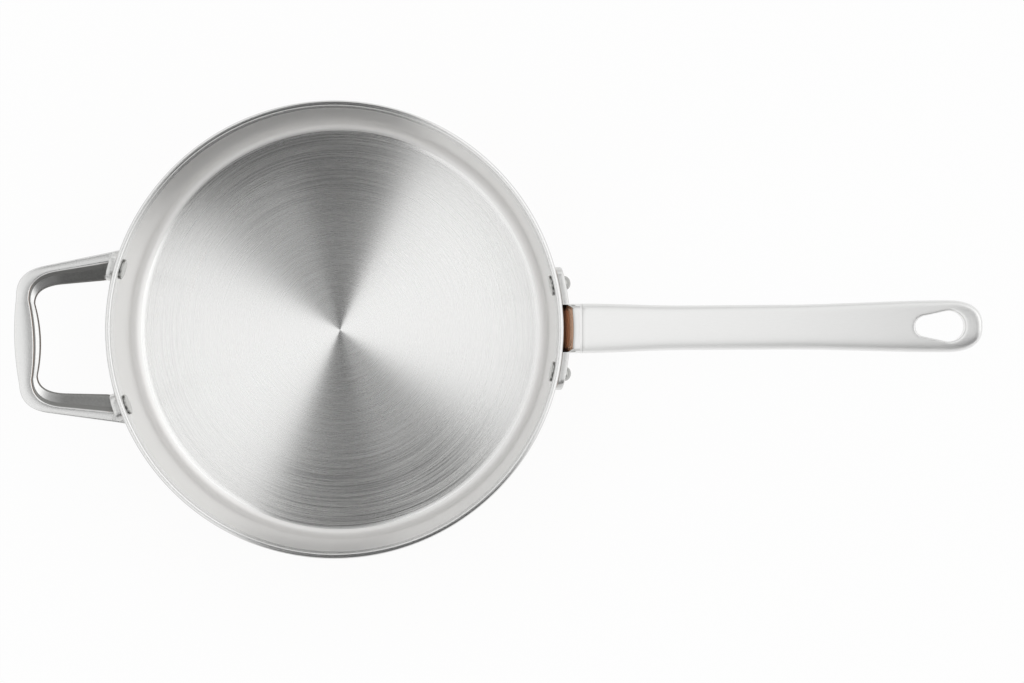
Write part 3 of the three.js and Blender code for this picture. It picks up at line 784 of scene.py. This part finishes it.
def grain_and_painted_shade(tree):
    """Casting grain with painted shade: dark in the arms and bright along the bar."""
    place = add(tree, "ShaderNodeTexCoord").outputs["Object"]
    along = add(tree, "ShaderNodeSeparateXYZ", {0: place}).outputs[0]
    limits = {0: along, 1: -shaded_until, 2: -unshaded_from, 3: 0, 4: 1 - grain_share}
    unshaded = add(tree, "ShaderNodeMapRange", limits, interpolation_type="SMOOTHSTEP").outputs[0]
    mixed = {0: grain(tree, 1.1 * MM), 1: grain_share, 2: unshaded}
    return add(tree, "ShaderNodeMath", mixed, operation="MULTIPLY_ADD").outputs[0]


# Cast stainless steel of the slope: painted shade makes it dark inside the arms and bright along the bar, and
# it is duller inside the arms. Its grain of 0.3 mm is drawn 1.1 mm wide to show.
slope_painted_shade = metal("cast_stainless_painted_shade_in_arms", grain_and_painted_shade, ("#81817f", "#f4f4f3"), (0.32, 0.28),
                  0.02 * MM)


def rail(root_half, bend_at, bar_x, bar_at, middle_x):
    """Half of one edge in plan: a straight arm, a round bend and half of the crowned bar."""
    root = Vector((helper_root_x, root_half, 0))
    bend = Vector((bar_x - bend_length, bend_at, 0))
    corner = bend + (bend - root) * (bend_length / (bend.x - root.x))
    bar = Vector((bar_x, bar_at, 0))
    line = [root.lerp(bend, t) for t in spread(0, 1, arm_steps)]
    line += curve_points(bend, corner, bar, bend_steps)[1:]
    control, middle = Vector((middle_x, bar_at / 2, 0)), Vector((middle_x, 0, 0))
    return line + curve_points(bar, control, middle, bar_steps)[1:]


def eased(corners, edges):
    """A closed outline with each corner eased by a short curve."""
    outline = []
    for i, corner in enumerate(corners):
        before = corners[i - 1] - corner
        after = corners[(i + 1) % len(corners)] - corner
        start = corner + before.normalized() * min(edges[i], before.length * easing_limit)
        end = corner + after.normalized() * min(edges[i], after.length * easing_limit)
        outline += curve_points(start, corner, end, easing_steps)
    return outline


def helper_section(outer, edge, opening):
    """The loop's section where its three edges in plan pass those points."""
    share = smooth(outer.x, helper_root_x, helper_reach)
    drop = arm_drop + (bar_drop - arm_drop) * share
    depth = arm_depth + (bar_depth - arm_depth) * share
    tucked = outer.lerp(edge, side_tuck / (outer - edge).length)
    step, scoop = edge.lerp(opening, step_share), edge.lerp(opening, 0.5)
    places = [(outer, 0), (edge, 0), (step, drop * step_drop), (scoop, drop * (0.5 + scoop_share))]
    places += [(opening, drop), (opening, drop + inner_lip)]
    places += [(tucked.lerp(opening, 0.5), depth), (tucked, depth), (outer, side_tuck)]
    return eased([Vector((plan.x, plan.y, helper_top - below)) for plan, below in places], casting_edges)


outer_x = helper_reach - outer_crown
edge_x = outer_x - bar_top
opening_x = edge_x - bar_slope
edge_root = helper_root_half - arm_top_root
edge_bend = bend_half - arm_top_bend
outer_rail = rail(helper_root_half, bend_half, outer_x, bar_half, helper_reach)
edge_rail = rail(edge_root, edge_bend, edge_x, (bar_half + opening_half) / 2, edge_x - top_crown)
opening_rail = rail(edge_root - arm_slope_root, edge_bend - arm_slope_bend, opening_x, opening_half,
                    opening_x - opening_crown)
helper_finishes = [satin_cast, blasted_cast, painted_dark_line, slope_painted_shade]
# The finish from each corner of the section to the next, in the order of helper_section
# Painted shade: the small step, the lip and the inner underside take the dark line, and the slope takes the
# shade inside the arms
corner_finishes = [satin_cast] * 2 + [painted_dark_line, slope_painted_shade] + [painted_dark_line] * 2 + [satin_cast] * 3
section_marks = [helper_finishes.index(finish) for finish in corner_finishes for _ in range(easing_steps + 1)]
half_loop = [helper_section(*edges) for edges in zip(outer_rail, edge_rail, opening_rail)]
mirror = Matrix.Diagonal((1, -1, 1))
whole_loop = half_loop + [[mirror @ point for point in outline] for outline in half_loop[-2::-1]]
points, faces = loft(whole_loop)
swing = Matrix.Rotation(helper_azimuth, 3, "Z")
marks = section_marks * (len(whole_loop) - 1)
marks += [helper_finishes.index(satin_cast)] * (len(faces) - len(marks))
loop = build("loop", [swing @ point for point in points], faces, helper_finishes, marks)
pad_outline = rounded_outline(pad_width, plate_height, plate_corner, 0)
pads = []
for side in (-1, 1):
    pads.append(wall_plate(f"pad_{side}", pad_outline, helper_azimuth + side * helper_rivet, satin_cast))
helper = cast_whole("helper", loop, pads, [bowl_space()])
for face in helper.data.polygons:
    if face.center.xy.length < wall_radius(plate_face, face.center.z) + pad_face_margin:
        face.material_index = helper_finishes.index(blasted_cast)
fit(helper, "cast_steel", "helper_handle")

# Studio
# A white paper table under a wide soft light, bright over the two ends of the pan and lower down dimmer. Dark
# cards hang over its two sides from a small hub above, and a long lens looks straight down.
scene = bpy.context.scene
scene.view_settings.view_transform = "Standard"
table_half = 6.0
table_drop = 0.2 * MM
table_corners = ((-1, -1), (1, -1), (1, 1), (-1, 1))
table_points = [(x * table_half, y * table_half, -table_drop) for x, y in table_corners]
table = build("table", table_points, [[0, 1, 2, 3]], [])
# Matt white paper: plain white to the eye and in the metal, with a little of the pan's shadow
white_share = 0.94
paper = bpy.data.materials.new("matt_white_paper")
paper.use_nodes = True
tree = paper.node_tree
tree.nodes.clear()
rays = add(tree, "ShaderNodeLightPath")
seen = rays.outputs["Is Camera Ray"]
for kind in ("Is Glossy Ray", "Is Transmission Ray"):
    seen = add(tree, "ShaderNodeMath", {0: seen, 1: rays.outputs[kind]}, operation="MAXIMUM").outputs[0]
lit = add(tree, "ShaderNodeMath", {0: seen, 1: white_share}, operation="MULTIPLY").outputs[0]
matt = add(tree, "ShaderNodeBsdfDiffuse", {"Color": linear("#f8f8f8")}).outputs[0]
glow = add(tree, "ShaderNodeEmission", {"Color": (1, 1, 1, 1), "Strength": 1}).outputs[0]
both = add(tree, "ShaderNodeMixShader", {0: lit, 1: matt, 2: glow}).outputs[0]
add(tree, "ShaderNodeOutputMaterial", {"Surface": both})
table.data.materials.append(paper)

# The lens: its distance above the rim, how many millimetres a pixel spans there, and where it stands
lens_distance = 1960 * MM
pixel_at_rim = 0.584 * MM
photo_width = 1024
camera_x, camera_y = 103.76 * MM, -7.49 * MM
roll = math.radians(-0.3)
camera_data = bpy.data.cameras.new("camera")
camera_data.sensor_width = 36  # millimetres, as the lens below
camera_data.lens = camera_data.sensor_width * lens_distance / (pixel_at_rim * photo_width)
camera = bpy.data.objects.new("camera", camera_data)
camera.location = (camera_x, camera_y, rim_height + lens_distance)
camera.rotation_euler = (0, 0, roll)
scene.collection.objects.link(camera)
scene.camera = camera

world = bpy.data.worlds.new("soft_studio")
scene.world = world
world.use_nodes = True
tree = world.node_tree
tree.nodes.clear()
# Light over the pan's two ends and on the cards: one end's light gives way to the other's over the middle of
# the sky, and both fade towards the horizon
bright_west, bright_east, dark = 1.04, 1.32, 0.1
crossing = 0.5
fade_start, fade_end, fade_share = math.radians(46), math.radians(76), 0.62
hub_start, hub_end, hub_share = math.radians(1.5), math.radians(4), 0.9
# The cards meet at a hub that leans west of straight up: the point that the middle of the floor mirrors
hub_lean = math.atan2(camera_x, rim_height + lens_distance)
aim = {"Vector": add(tree, "ShaderNodeTexCoord").outputs["Generated"], "Angle": hub_lean}
aimed = add(tree, "ShaderNodeVectorRotate", aim, rotation_type="Y_AXIS").outputs[0]
east, north, up = add(tree, "ShaderNodeSeparateXYZ", {0: aimed}).outputs
turn = add(tree, "ShaderNodeMath", {0: north, 1: east}, operation="ARCTAN2").outputs[0]
turns = add(tree, "ShaderNodeMath", {0: turn, 1: 2 * math.pi}, operation="DIVIDE").outputs[0]
around = add(tree, "ShaderNodeMath", {0: turns}, operation="FRACT").outputs[0]
lean = add(tree, "ShaderNodeMath", {0: up}, operation="ARCCOSINE").outputs[0]
# The dark cards over the pan's two sides, in degrees: soft start and end round the hub, and soft lower end
cards = (((61, 73), (97, 113), (30, 45)),
         ((97, 113), (128, 144), (11, 19)),
         ((240, 254), (313, 341), (47, 60)))
card = 0
for start, end, low in cards:
    shade = 1
    for place, unit, (first, last), ends in ((around, 360, start, (0, 1)), (around, 360, end, (1, 0)),
                                             (lean, math.degrees(1), low, (1, 0))):
        limits = {0: place, 1: first / unit, 2: last / unit, 3: ends[0], 4: ends[1]}
        edge = add(tree, "ShaderNodeMapRange", limits, interpolation_type="SMOOTHSTEP").outputs[0]
        shade = add(tree, "ShaderNodeMath", {0: shade, 1: edge}, operation="MULTIPLY").outputs[0]
    card = add(tree, "ShaderNodeMath", {0: card, 1: shade}).outputs[0]
# The dark hub that holds them
hub = {0: lean, 1: hub_start, 2: hub_end, 3: hub_share, 4: 0}
hub_shade = add(tree, "ShaderNodeMapRange", hub, interpolation_type="SMOOTHSTEP").outputs[0]
card = add(tree, "ShaderNodeMath", {0: card, 1: hub_shade}, operation="MAXIMUM").outputs[0]
sides = {0: east, 1: -crossing, 2: crossing, 3: bright_west, 4: bright_east}
bright = add(tree, "ShaderNodeMapRange", sides, interpolation_type="SMOOTHSTEP").outputs[0]
fading = {0: lean, 1: fade_start, 2: fade_end, 3: 1, 4: fade_share}
fade = add(tree, "ShaderNodeMapRange", fading, interpolation_type="SMOOTHSTEP").outputs[0]
bright = add(tree, "ShaderNodeMath", {0: bright, 1: fade}, operation="MULTIPLY").outputs[0]
level = add(tree, "ShaderNodeMapRange", {0: card, 3: bright, 4: dark}).outputs[0]
rays = add(tree, "ShaderNodeLightPath")
shown = {0: rays.outputs["Is Camera Ray"], 2: level, 3: 1}
strength = add(tree, "ShaderNodeMix", shown, data_type="FLOAT").outputs[0]
sky = add(tree, "ShaderNodeBackground", {"Color": (1, 1, 1, 1), "Strength": strength}).outputs[0]
add(tree, "ShaderNodeOutputWorld", {"Surface": sky})
